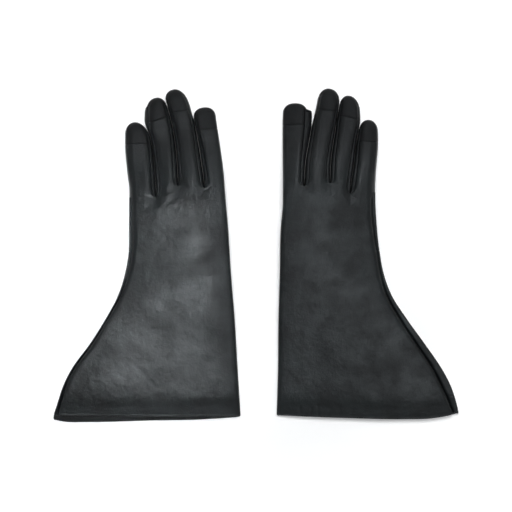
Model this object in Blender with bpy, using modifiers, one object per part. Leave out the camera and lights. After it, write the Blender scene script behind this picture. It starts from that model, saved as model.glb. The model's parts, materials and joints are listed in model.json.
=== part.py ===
"""A pair of long flared leather gloves, lying flat with their backs up.

Metres, +Z up. X runs across the pair and Y from the hems towards the fingertips.
Each glove is a flattened tube that splits into finger tubes. Every panel of leather is
a patch of one of those tubes, given its thickness inwards.
"""
import math

import bmesh
import bpy
from mathutils import Vector

# the leather, and the clearances between the pieces
LEATHER = 0.0009
SEAM_GAP = 0.0004
JOINT_GAP = 0.0006
FINGER_GAP = 0.0009

# the cuff and the hand, measured flat
HEM_WIDTH = 0.166
HEM_DEPTH = 0.014
WRIST_WIDTH = 0.0885
WRIST_HEIGHT = 0.150
FLARE_TOP = 0.168
FLARE_LOW_HANDLE = 0.042
FLARE_HIGH_HANDLE = 0.068
FLARE_HEM_INSET = 0.008
FLARE_WRIST_SPREAD = 0.004
CUFF_DEPTH = 0.0095
FOLD_RADIUS = 0.0060
DOME_RUN = 0.020
SIDE_SEAM_DROP = 0.0026
SIDE_CURL = 0.0024
SIDE_BULGE = 0.0007

# the fingers: width at the root, height of the root above the hem, length from root to tip
INDEX_WIDTH = 0.0186
MIDDLE_WIDTH = 0.0232
RING_WIDTH = 0.0200
LITTLE_WIDTH = 0.0224
INDEX_ROOT = 0.2070
MIDDLE_ROOT = 0.2092
RING_ROOT = 0.2055
LITTLE_ROOT = 0.1995
INDEX_LENGTH = 0.0755
MIDDLE_LENGTH = 0.0890
RING_LENGTH = 0.0855
LITTLE_LENGTH = 0.0695
FINGER_DEPTH = 0.0112
FINGER_SEAM_DROP = 0.0020
FINGER_CURL = 0.0028
FINGER_BULGE = 0.0005
FINGER_TAPER = 0.07
FOURCHETTE_SHOW = 0.0033
FOURCHETTE_SHORT = 0.0080
TIP_PANEL = 0.0200
TIP_ROUND = 0.0150
KNUCKLE_RUN = 0.028

# the thumb, folded under the palm, and how the palm rides over it
THUMB_FROM_EDGE = 0.0185
THUMB_HEIGHT = 0.130
THUMB_LENGTH = 0.058
THUMB_WIDTH = 0.0245
THUMB_DEPTH = 0.0074
THUMB_MOUTH = 0.0100
THUMB_HOLE = 0.0220
THUMB_ANGLE = 30.0
THUMB_CLEARANCE = 0.0005
THUMB_RAMP_START = 0.040
THUMB_RAMP_RUN = 0.075
THUMB_COVER = 0.058

# how each glove lies: leans in degrees, the side strip in sight, how far the lower hem slips out,
# and how far the index finger has rolled to show its fourchette
PAIR_GAP = 0.034
LEFT_LEAN = 4.0
LEFT_INDEX_LEAN = 6.0
LEFT_MIDDLE_LEAN = 9.0
LEFT_RING_LEAN = 7.8
LEFT_LITTLE_LEAN = 6.2
LEFT_STRIP_HAND = 0.0016
LEFT_STRIP_HEM = 0.0022
LEFT_HEM_SLIP = 0.0045
LEFT_INDEX_ROLL = 0.0006
RIGHT_LEAN = 1.5
RIGHT_INDEX_LEAN = 0.5
RIGHT_MIDDLE_LEAN = 6.4
RIGHT_RING_LEAN = 5.4
RIGHT_LITTLE_LEAN = 4.4
RIGHT_STRIP_HAND = 0.0028
RIGHT_STRIP_HEM = 0.0070
RIGHT_HEM_SLIP = 0.0010
RIGHT_INDEX_ROLL = 0.0070

# worked out from the sizes above
THUMB_LIFT = THUMB_DEPTH + THUMB_CLEARANCE
FINGERS = ("index", "middle", "ring", "little")
WIDTHS = dict(index=INDEX_WIDTH, middle=MIDDLE_WIDTH, ring=RING_WIDTH, little=LITTLE_WIDTH)
ROOTS = dict(index=INDEX_ROOT, middle=MIDDLE_ROOT, ring=RING_ROOT, little=LITTLE_ROOT)
LENGTHS = dict(index=INDEX_LENGTH, middle=MIDDLE_LENGTH, ring=RING_LENGTH, little=LITTLE_LENGTH)
HAND_WIDTH = sum(WIDTHS.values())
HAND_HEIGHT = sum(ROOTS.values()) / len(ROOTS)
LEFT = dict(
    name="left", side=-1, lean=LEFT_LEAN, slip=LEFT_HEM_SLIP, index_roll=LEFT_INDEX_ROLL,
    strip_hem=LEFT_STRIP_HEM, strip_hand=LEFT_STRIP_HAND,
    leans=dict(index=LEFT_INDEX_LEAN, middle=LEFT_MIDDLE_LEAN, ring=LEFT_RING_LEAN, little=LEFT_LITTLE_LEAN))
RIGHT = dict(
    name="right", side=1, lean=RIGHT_LEAN, slip=RIGHT_HEM_SLIP, index_roll=RIGHT_INDEX_ROLL,
    strip_hem=RIGHT_STRIP_HEM, strip_hand=RIGHT_STRIP_HAND,
    leans=dict(index=RIGHT_INDEX_LEAN, middle=RIGHT_MIDDLE_LEAN, ring=RIGHT_RING_LEAN, little=RIGHT_LITTLE_LEAN))


def clamp(t):
    return min(1.0, max(0.0, t))


def smooth(t):
    t = clamp(t)
    return t * t * (3.0 - 2.0 * t)


def mix(a, b, t):
    return a + (b - a) * t


def bezier(a, b, c, d, t):
    s = 1.0 - t
    return a * s ** 3 + 3.0 * b * t * s * s + 3.0 * c * t * t * s + d * t ** 3


def hand_width(y):
    """Flat width at a height above the hem: a swept flare, then the straight of the hand."""
    if y >= FLARE_TOP:
        return mix(WRIST_WIDTH, HAND_WIDTH, clamp((y - FLARE_TOP) / (HAND_HEIGHT - FLARE_TOP)))
    low = 0.0
    high = 1.0
    for _ in range(40):
        t = 0.5 * (low + high)
        if bezier(0.0, FLARE_LOW_HANDLE, FLARE_TOP - FLARE_HIGH_HANDLE, FLARE_TOP, t) < y:
            low = t
        else:
            high = t
    return bezier(HEM_WIDTH, HEM_WIDTH - FLARE_HEM_INSET, WRIST_WIDTH + FLARE_WRIST_SPREAD, WRIST_WIDTH, t)


class Glove:
    """One glove in its own flat frame: x away from the index edge, y up from the hem."""

    def __init__(self, name, side, lean, slip, index_roll, strip_hem, strip_hand, leans):
        self.name = name
        self.side = side
        self.lean = lean
        self.slip = slip
        self.index_roll = index_roll
        self.strip_hem = strip_hem
        self.strip_hand = strip_hand
        self.leans = leans
        self.middle = {}
        across = 0.0
        for finger in FINGERS:
            self.middle[finger] = across + 0.5 * WIDTHS[finger]
            across += WIDTHS[finger]

    def edge(self, y):
        return y * math.tan(math.radians(self.lean))

    def strip(self, y):
        return mix(self.strip_hem, self.strip_hand, smooth(y / WRIST_HEIGHT))

    def half(self, finger):
        return 0.5 * (WIDTHS[finger] - FINGER_GAP)

    def roll(self, finger, s):
        """How far a finger's outer side has rolled out at a distance from its root."""
        if finger != "index":
            return 0.0
        side_end = LENGTHS[finger] - FOURCHETTE_SHORT
        beyond = clamp((s - side_end - 0.2 * FOURCHETTE_SHORT) / (0.25 * FOURCHETTE_SHORT))
        return self.index_roll * clamp(s / side_end) ** 1.3 * (1.0 - beyond)

    def lift(self, x, y):
        """Height of the palm above the table, as it rides over the folded thumb."""
        along = smooth((y - THUMB_RAMP_START) / THUMB_RAMP_RUN)
        beyond = (x - self.edge(y) - THUMB_COVER) / (hand_width(y) - THUMB_COVER)
        return THUMB_LIFT * along * (1.0 - 0.9 * smooth(beyond))

    def ray(self, start, degrees, q, s):
        """A point in plan: s ahead of a start along a leaning line, q to its side."""
        turn = math.radians(degrees)
        x = start[0] + q * math.cos(turn) + s * math.sin(turn)
        y = start[1] - q * math.sin(turn) + s * math.cos(turn)
        return x, y

    def on_finger(self, finger, q, s):
        root = ROOTS[finger]
        return self.ray((self.edge(root) + self.middle[finger], root), self.leans[finger], q, s)

    def on_thumb(self, q, s):
        start = (self.edge(THUMB_HEIGHT) + THUMB_FROM_EDGE, THUMB_HEIGHT)
        return self.ray(start, THUMB_ANGLE + self.lean, q, s)

    def root_line(self, finger, x):
        """Height at which the hand stops under a finger's root."""
        start = self.on_finger(finger, 0.0, -0.5 * JOINT_GAP)
        return start[1] - (x - start[0]) * math.tan(math.radians(self.leans[finger]))

    def world(self, point):
        return Vector((self.side * (point[0] + 0.5 * PAIR_GAP), point[1], point[2]))


def bow(a, b, bulge):
    """Three points from a to b, the middle one pushed out to the left of the way from a to b."""
    a = Vector(a)
    b = Vector(b)
    way = b - a
    out = Vector((-way.y, way.x)).normalized()
    return [tuple(a), tuple(0.5 * (a + b) + out * bulge), tuple(b)]


def shorten(a, b, cut):
    """Move a towards b by a length."""
    way = Vector(b) - Vector(a)
    return tuple(Vector(a) + way * min(cut / max(way.length, 1e-9), 0.8))


def part_seams(runs, closed):
    """Pull neighbouring runs of a section apart, so that the thick leather clears at each seam."""
    out = [list(run) for run in runs]
    for i in range(len(runs) if closed else len(runs) - 1):
        one = runs[i]
        two = runs[(i + 1) % len(runs)]
        before = Vector(one[-1]) - Vector(one[-2])
        after = Vector(two[1]) - Vector(two[0])
        turn = before.angle(after, 0.0)
        cut = 0.5 * SEAM_GAP + LEATHER * math.tan(0.5 * turn)
        out[i][-1] = shorten(one[-1], one[-2], cut)
        out[(i + 1) % len(runs)][0] = shorten(two[0], two[1], cut)
    return out


def columns(names, runs):
    """The points of a closed section in order, with the name of the step that follows each."""
    points = []
    steps = []
    for name, run in zip(names, runs):
        points += run
        steps += [name] * (len(run) - 1) + ["after_" + name]
    return points, steps


def finger_section(half, show, roll):
    """Back, little-finger side, palm and index side of a finger, as seen from its root."""
    top = half - show
    seam = FINGER_DEPTH - FINGER_SEAM_DROP
    turn = 0.3 * half
    back = [(top * t, FINGER_DEPTH - FINGER_SEAM_DROP * t * t) for t in (-1.0, -0.5, 0.0, 0.5, 1.0)]
    edge = [(half, FINGER_CURL), (half - 0.3 * turn, 0.3 * FINGER_CURL), (half - turn, 0.0)]
    palm = [(q + roll, z) for q, z in edge] + [(-q, z) for q, z in reversed(edge)]
    outer = bow(back[-1], palm[0], FINGER_BULGE)
    inner = bow(palm[-1], back[0], FINGER_BULGE)
    return columns(("back", "outer", "palm", "inner"), part_seams((back, outer, palm, inner), True))


def thumb_section(half):
    upper = [(half, 0.50), (0.96 * half, 0.72), (0.80 * half, 0.93), (0.50 * half, 1.0)]
    upper = [(-q, z * THUMB_DEPTH) for q, z in upper] + [(q, z * THUMB_DEPTH) for q, z in reversed(upper)]
    lower = [(q, THUMB_DEPTH - z) for q, z in reversed(upper)]
    return columns(("upper", "lower"), part_seams((upper, lower), True))


class Grid:
    """Rows of points, with a name for each step along the rows and across them."""

    def __init__(self, rows, row_steps, column_steps):
        self.rows = rows
        self.row_steps = row_steps
        self.column_steps = column_steps

    def faces(self, pick):
        count = len(self.rows[0])
        out = []
        for r, row_step in enumerate(self.row_steps):
            for c, column_step in enumerate(self.column_steps):
                if pick(row_step, column_step):
                    d = (c + 1) % count
                    out.append([(r, c), (r, d), (r + 1, d), (r + 1, c)])
        return out

    def end(self, row):
        """The flat face that closes the tube at a row."""
        ring = [(row, c) for c in range(len(self.rows[0]))]
        if row == 0:
            ring.reverse()
        return ring


def collection(name):
    made = bpy.data.collections.new(name)
    bpy.context.scene.collection.children.link(made)
    return made


def material(name, colour, roughness):
    made = bpy.data.materials.new(name)
    made.use_nodes = True
    shader = made.node_tree.nodes["Principled BSDF"]
    shader.inputs["Base Color"].default_value = (*colour, 1.0)
    shader.inputs["Roughness"].default_value = roughness
    return made


def empty(name, at, parent, parent_at):
    obj = bpy.data.objects.new(name, None)
    obj.empty_display_size = 0.01
    obj.location = at - parent_at
    obj.parent = parent
    PARTS.objects.link(obj)
    return obj


def panel(glove, name, grid, faces, body, at, finish):
    """One piece of leather: an open patch of a grid, thickened inwards."""
    index = {}
    points = []
    polygons = []
    for face in faces:
        ring = []
        for key in face:
            if key not in index:
                index[key] = len(points)
                place = glove.world(grid.rows[key[0]][key[1]])
                points.append(place - at)
                PLACES.append(place)
            ring.append(index[key])
        polygons.append(ring if glove.side > 0 else ring[::-1])
    mesh = bpy.data.meshes.new(name)
    mesh.from_pydata(points, [], polygons)
    mesh.materials.append(finish)
    obj = bpy.data.objects.new(glove.name + "_" + name, mesh)
    obj.parent = body
    PARTS.objects.link(obj)
    shell = obj.modifiers.new("leather", "SOLIDIFY")
    shell.thickness = LEATHER
    shell.offset = -1.0
    shell.use_even_offset = True
    return obj


def finger_grid(glove, finger):
    """The tube of one finger, from its root to its tip."""
    length = LENGTHS[finger]
    gap = 0.5 * SEAM_GAP
    seam = length - TIP_PANEL
    side_end = length - FOURCHETTE_SHORT
    bend = length - TIP_ROUND
    stations = [(0.5 * JOINT_GAP, "stall"), (0.18 * length, "stall"), (0.36 * length, "stall"),
                (0.54 * length, "stall"), (seam - gap, "tip_seam"), (seam + gap, "tip"),
                (mix(bend, side_end, 0.4), "tip"), (side_end - gap, "side_end"),
                (side_end + gap, "cap"), (side_end + 0.2 * FOURCHETTE_SHORT, "cap"),
                (length - 0.28 * TIP_ROUND, "cap"),
                (length - 0.11 * TIP_ROUND, "cap"), (length - 0.02 * TIP_ROUND, "cap")]
    rows = []
    for s, _ in stations:
        into_tip = clamp((s - bend) / TIP_ROUND)
        small = math.sqrt(1.0 - into_tip * into_tip)
        half = glove.half(finger) * (1.0 - FINGER_TAPER * clamp(s / bend)) * small
        points, steps = finger_section(half, FOURCHETTE_SHOW * small, glove.roll(finger, s))
        flat = mix(0.35, 1.0, small)
        level = 0.4 * FINGER_DEPTH
        sag = 1.0 - smooth(s / (0.62 * length))
        row = []
        for q, z in points:
            x, y = glove.on_finger(finger, q, s)
            rest = glove.lift(*glove.on_finger(finger, q, 0.0)) * sag
            row.append((x, y, level + (z - level) * flat + rest))
        rows.append(row)
    return Grid(rows, [step for _, step in stations[:-1]], steps)


def make_finger(glove, finger, hand, hand_at):
    grid = finger_grid(glove, finger)
    top = max(point[2] for point in grid.rows[0])
    at = glove.world((*glove.on_finger(finger, 0.0, 0.0), top + 0.0002))
    body = empty(glove.name + "_" + finger + "_hinge", at, hand, hand_at)
    back_steps = ("back",)
    palm_steps = ("palm",)
    back_name = "back"
    if finger == "index":
        back_steps = ("palm", "after_palm", "inner", "after_inner", "back")
        palm_steps = ()
        back_name = "wrap"
    if finger == "little":
        back_steps = ("back", "after_back", "outer")

    def add(name, faces, finish):
        panel(glove, finger + "_" + name, grid, faces, body, at, finish)

    add(back_name, grid.faces(lambda r, c: r == "stall" and c in back_steps), SHELL)
    if palm_steps:
        add("palm", grid.faces(lambda r, c: r == "stall" and c in palm_steps), SHELL)
    tip_steps = back_steps + palm_steps
    tip = grid.faces(lambda r, c: r == "cap" or (r in ("tip", "side_end") and c in tip_steps))
    add("tip", tip + [grid.end(len(grid.rows) - 1)], TIP)
    neighbours = dict(index=dict(outer=""), middle=dict(inner="_index_side", outer="_ring_side"),
                      ring=dict(inner="_middle_side", outer="_little_side"), little=dict(inner=""))
    for run, side in neighbours[finger].items():
        strip = grid.faces(lambda r, c: r in ("stall", "tip_seam", "tip") and c == run)
        add("fourchette" + side, strip, FOURCHETTE)


def trank_columns(glove):
    """The lengthwise lines of the hand, from the back's side seam round the fold to the palm's edge."""
    lines = []
    for finger in reversed(FINGERS):
        for t in (1.0, 0.0, -1.0):
            lines.append((finger, "back", (glove.middle[finger] + t * glove.half(finger)) / HAND_WIDTH))
    lines[0] = ("little", "back", 1.0)
    lines[-1] = ("index", "fold", 0.0)
    for degrees in (30.0, 60.0, 90.0, 120.0, 150.0, 180.0):
        lines.append(("index", "fold", degrees))
    for finger in FINGERS:
        for t in (-1.0, 1.0):
            lines.append((finger, "palm", (glove.middle[finger] + t * glove.half(finger)) / HAND_WIDTH))
    lines.remove(("index", "palm", lines[-8][2]))
    lines[-1] = ("little", "edge", 2)
    lines.append(("little", "edge", 1))
    lines.append(("little", "edge", 0))
    return lines


def side_runs(glove, y):
    """The side strip's section, and the palm's edge below it, pulled apart at their seams."""
    width = hand_width(y)
    seam = (width - glove.strip(y), hand_depth(glove, y) - SIDE_SEAM_DROP)
    slope = 2.0 * SIDE_SEAM_DROP / DOME_RUN
    back = [(seam[0] - 0.01, seam[1] + 0.01 * slope), seam]
    edge = [(width, SIDE_CURL), (width - 0.001, 0.3 * SIDE_CURL), (width - 0.0036, 0.0)]
    return part_seams((back, bow(seam, edge[0], SIDE_BULGE), edge), False)


def hand_depth(glove, y):
    return mix(CUFF_DEPTH, FINGER_DEPTH, smooth((y - LITTLE_ROOT + KNUCKLE_RUN) / KNUCKLE_RUN))


def trank_place(glove, line, y):
    """Where a lengthwise line runs at a height: distance from the index edge and level above the palm."""
    finger, run, share = line
    width = hand_width(y)
    depth = hand_depth(glove, y)
    back, _, edge = side_runs(glove, y)
    if run == "fold":
        turn = math.radians(share)
        return FOLD_RADIUS * (1.0 - math.sin(turn)), 0.5 * depth * (1.0 + math.cos(turn))
    if run == "palm":
        return share * width, 0.0
    if run == "edge":
        return edge[share]
    if share == 1.0:
        return back[1]
    u = share * width - glove.strip(y) * smooth((share - 0.8) / 0.2)
    beyond = 1.0 - clamp((width - glove.strip(y) - u) / DOME_RUN)
    dip = abs(share * HAND_WIDTH - glove.middle[finger]) > 0.3 * glove.half(finger)
    knuckle = smooth((y - ROOTS[finger] + KNUCKLE_RUN) / KNUCKLE_RUN)
    return u, depth - SIDE_SEAM_DROP * beyond * beyond - (FINGER_SEAM_DROP * knuckle if dip else 0.0)


def trank_end(glove, line):
    """Height at which a lengthwise line meets the root of its finger."""
    y = ROOTS[line[0]]
    for _ in range(6):
        y = glove.root_line(line[0], glove.edge(y) + trank_place(glove, line, y)[0])
    return y


def hand_point(glove, u, y, z):
    x = glove.edge(y) + u
    return x, y, z + glove.lift(x, y)


def make_trank(glove, hand, at):
    lines = trank_columns(glove)
    rows = []
    levels = [0.0, 0.048, 0.12, 0.19, 0.245, 0.30, 0.355, 0.41, 0.465, 0.52, 0.57, 0.63, 0.70, 0.77, 0.85,
              0.93, 1.0]
    for level in levels:
        row = []
        for line in lines:
            start = -glove.slip * clamp(line[2] if line[1] == "palm" else line[1] == "edge")
            y = mix(start, trank_end(glove, line), level)
            u, z = trank_place(glove, line, max(y, 0.0))
            row.append(hand_point(glove, u, y, z))
        rows.append(row[::-1])
    grid = Grid(rows, ["hand"] * (len(rows) - 1), ["trank"] * (len(lines) - 1) + ["open"])
    trank = panel(glove, "trank", grid, grid.faces(lambda r, c: c == "trank"), hand, at, SHELL)

    x, y = glove.on_thumb(0.0, 0.0)
    mesh = bpy.data.meshes.new("thumb_hole")
    work = bmesh.new()
    bmesh.ops.create_cone(work, cap_ends=True, segments=24, radius1=0.5 * THUMB_HOLE,
                          radius2=0.5 * THUMB_HOLE, depth=0.5 * CUFF_DEPTH)
    work.to_mesh(mesh)
    work.free()
    cutter = bpy.data.objects.new(glove.name + "_thumb_hole", mesh)
    cutter.location = glove.world((x, y, glove.lift(x, y))) - at
    cutter.parent = hand
    cutter.hide_render = True
    cutter.display_type = "WIRE"
    CUTTERS.objects.link(cutter)
    hole = trank.modifiers.new("thumb hole", "BOOLEAN")
    hole.operation = "DIFFERENCE"
    hole.object = cutter
    hole.solver = "EXACT"


def make_side_strip(glove, name, low, high, count, hand, at):
    rows = []
    for i in range(count + 1):
        y = mix(low, high, i / count)
        strip = side_runs(glove, y)[1]
        rows.append([hand_point(glove, u, y, z) for u, z in strip])
    grid = Grid(rows, ["strip"] * count, ["strip"] * (len(rows[0]) - 1) + ["open"])
    panel(glove, name, grid, grid.faces(lambda r, c: c == "strip"), hand, at, SHELL)


def make_hem_facing(glove, hand, at):
    """The turned-up hem: a band all round the inside of the mouth."""
    inset = LEATHER + SEAM_GAP
    rows = []
    for y in (0.001, 0.5 * HEM_DEPTH, HEM_DEPTH):
        width = hand_width(y)
        seam = width - glove.strip(y)
        top = CUFF_DEPTH - inset
        loop = [(seam - 0.004, top - SIDE_SEAM_DROP), (seam - 0.012, top - 0.6 * SIDE_SEAM_DROP),
                (seam - DOME_RUN - 0.012, top), (0.4 * width, top), (FOLD_RADIUS, top)]
        for degrees in (45.0, 90.0, 135.0):
            turn = math.radians(degrees)
            loop.append((FOLD_RADIUS - (FOLD_RADIUS - inset) * math.sin(turn),
                         0.5 * CUFF_DEPTH + (top - 0.5 * CUFF_DEPTH) * math.cos(turn)))
        loop += [(FOLD_RADIUS, inset), (0.4 * width, inset), (width - 0.0065, inset),
                 (width - 0.0045, inset + 0.5 * SIDE_CURL)]
        rows.append([hand_point(glove, u, y, z) for u, z in reversed(loop)])
    grid = Grid(rows, ["hem"] * (len(rows) - 1), ["hem"] * len(rows[0]))
    panel(glove, "hem_facing", grid, grid.faces(lambda r, c: True), hand, at, FACING)


def make_thumb(glove, hand, hand_at):
    base = 0.5 * THUMB_WIDTH
    gap = 0.5 * SEAM_GAP
    bend = THUMB_LENGTH - TIP_ROUND
    stations = [(-0.97 * base, "base"), (-0.75 * base, "base"), (-0.4 * base, "base"), (0.0, "base"),
                (THUMB_MOUTH - gap, "mouth"), (THUMB_MOUTH + gap, "stall"), (0.55 * THUMB_LENGTH, "stall"),
                (bend, "stall"), (bend + 0.45 * TIP_ROUND, "stall"), (THUMB_LENGTH - 0.28 * TIP_ROUND, "stall"),
                (THUMB_LENGTH - 0.14 * TIP_ROUND, "end_seam"), (THUMB_LENGTH - 0.09 * TIP_ROUND, "end"),
                (THUMB_LENGTH - 0.02 * TIP_ROUND, "end")]
    rows = []
    for s, _ in stations:
        off = clamp((s - bend) / TIP_ROUND) if s > 0.0 else -s / base
        small = math.sqrt(1.0 - off * off)
        points, steps = thumb_section(base * (1.0 - FINGER_TAPER * clamp(s / bend)) * small)
        flat = mix(0.55, 1.0, small)
        level = 0.5 * THUMB_DEPTH
        rows.append([(*glove.on_thumb(q, s), level + (z - level) * flat) for q, z in points])
    grid = Grid(rows, [step for _, step in stations[:-1]], steps)
    at = glove.world((*glove.on_thumb(0.0, 0.0), 0.5 * THUMB_DEPTH))
    body = empty(glove.name + "_thumb_hinge", at, hand, hand_at)
    outer = grid.faces(lambda r, c: c == "lower" or r == "end")
    outer += [grid.end(0), grid.end(len(rows) - 1)]
    panel(glove, "thumb_outer", grid, outer, body, at, SHELL)
    inner = grid.faces(lambda r, c: c == "upper" and r == "stall")
    panel(glove, "thumb_inner", grid, inner, body, at, SHELL)


def make_glove(glove, pair):
    at = glove.world((0.0, 0.0, 0.0))
    hand = empty(glove.name + "_hand", at, pair, Vector())
    make_trank(glove, hand, at)
    join = 0.5 * SEAM_GAP
    top = glove.root_line("little", glove.edge(LITTLE_ROOT) + HAND_WIDTH) - 0.3 * SEAM_GAP
    make_side_strip(glove, "side_strip_cuff", 0.0, WRIST_HEIGHT - join, 12, hand, at)
    make_side_strip(glove, "side_strip_hand", WRIST_HEIGHT + join, top, 4, hand, at)
    make_hem_facing(glove, hand, at)
    make_thumb(glove, hand, at)
    for finger in FINGERS:
        make_finger(glove, finger, hand, at)


for old in list(bpy.data.objects):
    bpy.data.objects.remove(old, do_unlink=True)

PARTS = collection("leather_gloves")
CUTTERS = collection("cutters")
SHELL = material("black_nappa", (0.016, 0.017, 0.018), 0.42)
TIP = material("black_nappa_tip", (0.012, 0.013, 0.013), 0.50)
FOURCHETTE = material("black_nappa_fourchette", (0.014, 0.015, 0.015), 0.46)
FACING = material("turned_hem", (0.020, 0.020, 0.021), 0.75)
PLACES = []

PAIR = empty("pair", Vector(), None, Vector())
make_glove(Glove(**LEFT), PAIR)
make_glove(Glove(**RIGHT), PAIR)

# the origin sits under the middle of the pair
LOW = Vector([min(place[i] for place in PLACES) for i in range(3)])
HIGH = Vector([max(place[i] for place in PLACES) for i in range(3)])
PAIR.location = Vector((-0.5 * (LOW.x + HIGH.x), -0.5 * (LOW.y + HIGH.y), -LOW.z))
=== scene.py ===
# %% [markdown]
# # A pair of long leather gauntlet gloves
#
# Two black nappa gloves lie flat on a white table, backs up, thumbs folded under the palms.
# A glove of this kind is cut as flat panels and sewn inside out: one large panel for the back,
# the fold and the palm, narrow side strips between the fingers, small panels over the fingertips
# and a long strip down the little-finger edge.
#
# The lesson builds each panel as a patch of one soft tube, so that panels that are sewn together
# meet exactly. It starts from the CAD frame, which says where every solid is and how it moves.

import json
import math

import bpy
import numpy as np
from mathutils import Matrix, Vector


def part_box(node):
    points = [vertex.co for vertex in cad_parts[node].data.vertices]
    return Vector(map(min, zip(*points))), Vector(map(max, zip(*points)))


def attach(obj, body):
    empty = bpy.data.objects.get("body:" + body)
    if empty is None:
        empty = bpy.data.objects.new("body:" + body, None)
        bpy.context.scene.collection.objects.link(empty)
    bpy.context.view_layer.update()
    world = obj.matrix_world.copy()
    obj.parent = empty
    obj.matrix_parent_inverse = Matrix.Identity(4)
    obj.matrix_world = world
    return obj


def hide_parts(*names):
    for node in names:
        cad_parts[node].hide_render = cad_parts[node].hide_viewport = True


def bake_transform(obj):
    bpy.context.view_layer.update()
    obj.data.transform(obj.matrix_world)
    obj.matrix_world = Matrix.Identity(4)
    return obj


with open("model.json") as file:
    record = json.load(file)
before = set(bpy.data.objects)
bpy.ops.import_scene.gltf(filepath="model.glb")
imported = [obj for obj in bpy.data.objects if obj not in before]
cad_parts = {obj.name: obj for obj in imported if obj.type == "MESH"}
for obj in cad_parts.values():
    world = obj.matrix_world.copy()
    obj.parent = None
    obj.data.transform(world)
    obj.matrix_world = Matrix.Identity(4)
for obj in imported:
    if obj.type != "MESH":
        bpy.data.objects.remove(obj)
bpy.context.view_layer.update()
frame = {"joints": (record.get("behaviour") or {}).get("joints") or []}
JOINTS = {joint["name"]: joint for joint in frame["joints"]}

# %% [markdown]
# ## Measured lines
#
# Each glove is measured on its own, in millimetres: x runs from the index edge towards the little
# finger and y runs up from the hem. A line is a short list of measured points, and a smooth curve
# is drawn through them, the way a pattern cutter joins marks with a French curve.
# The two gloves are one pattern, but leather lies differently each time it is put down, so each
# has its own numbers.
#
# Lines that run up the glove, such as the edges and the slits between the fingers, list (y, x).
# Lines along the hem and the finger roots list (x, y). The ends carry the two sides of a finger on
# from its slits to its tip, and rolls say how much more of its outer side a finger shows. A crease
# is a dent from one point to another with its depth and half width, and a depth below zero makes a
# ridge. A crumple is a round patch of small wrinkles with its radius and height.

# %% The lines of the left glove
FINGERS = ("index", "middle", "ring", "little")
LEFT = dict(
    side=-1,
    index_edge=[(-6, -1.2), (0, -0.9), (44, 1.7), (88, 4.2), (131, 7.6), (175, 10.4), (207, 13.1),
                (219, 14.0), (230, 15.3), (246, 17.6), (256, 19.1), (271, 21.4), (282, 22.4)],
    little_edge=[(-6, 170.3), (0, 170.0), (11, 166.6), (33, 158.6), (44, 152.6), (66, 136.3),
                 (88, 122.4), (110, 110.8), (131, 104.1), (150, 101.0), (175, 100.5), (200, 100.4),
                 (208, 100.5), (219, 102.0), (230, 103.2), (246, 104.4), (256, 104.4), (268, 104.8)],
    strip=[(0, 3.6), (40, 2.3), (90, 1.9), (140, 3.4), (200, 3.0)],
    hem_back=[(0, 0.4), (90, 0.2), (169, 0.8)],
    hem_palm=[(0, -1.0), (36, -3.3), (81, -4.2), (140, -5.7), (160, -5.4), (170, -3.4)],
    roots=[(13.1, 206.0), (31.5, 207.7), (55.4, 209.5), (75.5, 199.2), (100.4, 199.5)],
    slits=[[(219, 32.8), (230, 34.5), (246, 37.0), (256, 38.9), (264, 40.4), (271, 41.8)],
           [(219, 55.9), (230, 56.7), (246, 58.4), (260, 60.4), (274, 63.6)],
           [(208, 75.8), (219, 76.6), (230, 77.6), (246, 79.9), (256, 81.9)]],
    tips=dict(index=281.6, middle=297.7, ring=290.2, little=268.0),
    ends=dict(index=([], [(282, 43.0)]),
              middle=([(276, 43.4), (283, 45.2), (298, 51.2)],
                      [(279.5, 65.3), (285, 66.5), (290, 68.5), (298, 71.2)]),
              ring=([(279.5, 65.4), (285, 66.6), (290, 67.4)],
                    [(263, 85.0), (268, 86.6), (275, 86.7), (283, 86.3), (290, 86.0)]),
              little=([(261, 84.0), (268, 86.8)], [])),
    rounds=dict(index=9.0, middle=11.0, ring=11.0, little=11.0),
    leans=dict(index=6.0, middle=12.0, ring=11.0, little=4.0),
    rolls=dict(ring=[(240, 0.0), (250, 0.0), (260, 0.9), (267, 2.6), (275, 2.2), (283, 1.0)]),
    creases=[(98.6, 50.4, 74.1, 25.9, 0.24, 0.8), (92, 200.4, 77, 198.4, 0.20, 1.0),
             (74, 197.6, 65, 200.6, -0.13, 1.0), (65, 200.6, 55.6, 207.6, -0.12, 1.0),
             (51.5, 206.8, 39.5, 208.2, -0.13, 0.9), (36, 198.6, 31, 205.6, 0.28, 1.1),
             (31, 205.6, 26, 208.6, 0.20, 1.0), (62, 195.0, 55, 189.0, 0.18, 1.4),
             (44, 200.0, 39, 191.0, 0.16, 1.3)],
    crumples=[(58, 194, 12, 0.24), (36, 199, 9, 0.20), (84, 192, 9, 0.08), (73, 163, 14, 0.13),
              (30, 166, 12, 0.09), (38, 100, 22, 0.12), (80, 60, 26, 0.07), (128, 32, 17, 0.09)],
    thumb_turn=34.0,
    seed=3,
)
print("left glove:", len(LEFT["creases"]), "creases and", len(LEFT["crumples"]), "crumples")

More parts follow.
